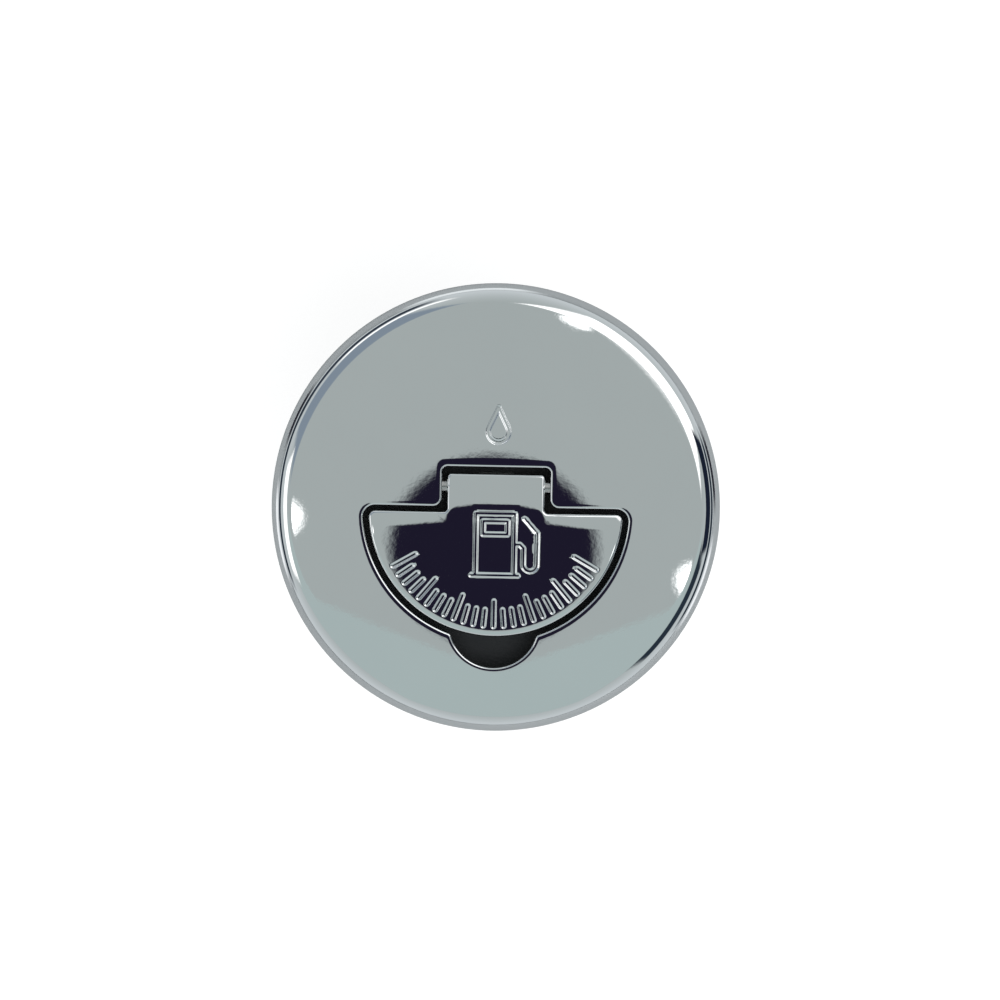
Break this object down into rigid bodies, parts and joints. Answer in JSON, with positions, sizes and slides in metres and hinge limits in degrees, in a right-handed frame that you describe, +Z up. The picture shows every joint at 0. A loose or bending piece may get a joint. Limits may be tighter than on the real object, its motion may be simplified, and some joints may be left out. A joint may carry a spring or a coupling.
{
  "type": "deck fill cap",
  "caption": "Round chromed deck fill cap with a fold-out half-moon turning handle, screwed into a deck flange with a hose spigot.",
  "frame": {"origin": "on the cap's axis, in the plane of the deck under the flange gasket, which is the centre of the flange screws' circle", "axes": "+Z up out of the deck along the cap's axis, +Y from the finger notch towards the handle's hinge, +X along the hinge pin"},
  "size_m": [0.1, 0.1, 0.0834],
  "materials": {
    "bright_chrome": "mirror polished",
    "satin_chrome": "satin, cast under the plating",
    "stainless": "turned stainless steel",
    "black_moulding": "fine moulded grain",
    "rubber": "matt",
    "white_moulding": "smooth",
    "brass": "tinned brass, dull"
  },
  "bodies": {
    "deck_flange": {"deck_flange": "satin_chrome", "flange_gasket": "rubber", "flange_screws": "stainless", "lanyard_pin": "stainless", "bonding_washer": "stainless", "bonding_tag": "brass", "bonding_screw": "stainless"},
    "lanyard_swivel": {"swivel_eye": "stainless"},
    "cap": {"threaded_plug": "black_moulding", "cap_o_ring": "rubber", "cap_core": "black_moulding", "core_screws": "stainless", "cap_cover": "bright_chrome", "cover_screws": "stainless", "cover_seal": "rubber", "hinge_pin": "stainless", "handle_pads": "rubber", "detent_spring": "stainless", "spring_screw": "stainless", "swivel_washer": "white_moulding", "swivel_screw": "stainless"},
    "handle": {"fold_handle": "bright_chrome", "hinge_bushes": "white_moulding"}
  },
  "joints": [
    {"name": "cap_lift", "type": "slide", "parent": "deck_flange", "child": "lanyard_swivel", "axis": [0, 0, 1], "range_m": [0, 0.01101]},
    {"name": "cap_turn", "type": "hinge", "parent": "lanyard_swivel", "child": "cap", "pos_m": [0, 0, 0], "axis": [0, 0, 1], "range_deg": [0, 990]},
    {"name": "handle_fold", "type": "hinge", "parent": "cap", "child": "handle", "pos_m": [0, 0.0049, 0.015], "axis": [-1, 0, 0], "range_deg": [0, 92]}
  ],
  "couplings": [
    {"joint": "cap_lift", "follows": "cap_turn", "m_per_rad": 0.00063662}
  ]
}
